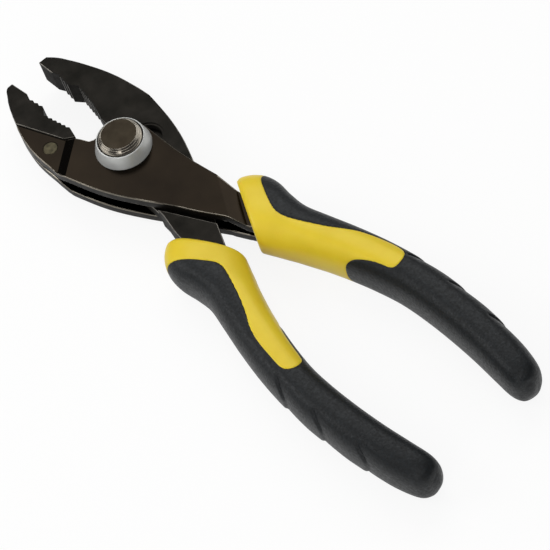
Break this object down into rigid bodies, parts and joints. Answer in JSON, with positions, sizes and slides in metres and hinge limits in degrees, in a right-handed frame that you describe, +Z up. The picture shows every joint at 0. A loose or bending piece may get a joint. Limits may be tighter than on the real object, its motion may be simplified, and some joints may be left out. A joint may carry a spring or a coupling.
{
  "type": "slip joint pliers",
  "caption": "Slip joint pliers with joggled side plates round a slotted jaw lever, a push button pivot in a turned collar, and two-part moulded grips.",
  "frame": {"origin": "on the pivot axis, at the outer face of the back cap, which is level with the lowest line of the grips", "axes": "+X from the pivot to the jaws, +Y to the fixed jaw's side, +Z up through the button"},
  "size_m": [0.2, 0.0594, 0.0203],
  "materials": {
    "plate": "dark glossy plating",
    "jaw": "black oxide, matte",
    "rivet": "plain steel",
    "collar": "turned, satin",
    "button": "turned, polished",
    "button_face": "dark satin",
    "grip_body": "satin yellow",
    "grip_cover": "soft matte black"
  },
  "bodies": {
    "lever_a": {"upper_plate": "plate", "lower_plate": "plate", "fixed_jaw": "jaw", "jaw_rivet": "rivet", "tang_core": "jaw", "tang_rivets": "rivet", "pivot_collar": "collar", "back_cap": "plate", "right_grip_body": "grip_body", "right_grip_cover": "grip_cover"},
    "pivot": {"pivot_pin": "rivet", "retaining_ring": "rivet"},
    "button": {"push_button": "button", "button_face": "button_face", "button_stem": "rivet", "stem_clip": "rivet", "return_spring": "rivet"},
    "lever_b": {"jaw_lever": "jaw", "left_grip_body": "grip_body", "left_grip_cover": "grip_cover"}
  },
  "joints": [
    {"name": "swing", "type": "hinge", "parent": "lever_a", "child": "pivot", "pos_m": [0, 0, 0.0086], "axis": [0, 0, 1], "range_deg": [-35, 2]},
    {"name": "slip", "type": "slide", "parent": "pivot", "child": "lever_b", "axis": [0.1132, 0.9936, 0], "range_m": [0, 0.0079]},
    {"name": "push", "type": "slide", "parent": "pivot", "child": "button", "axis": [0, 0, -1], "range_m": [0, 0.001], "stiffness_N_per_m": 900, "springref_m": -0.0015, "deforming": ["return_spring"]}
  ]
}
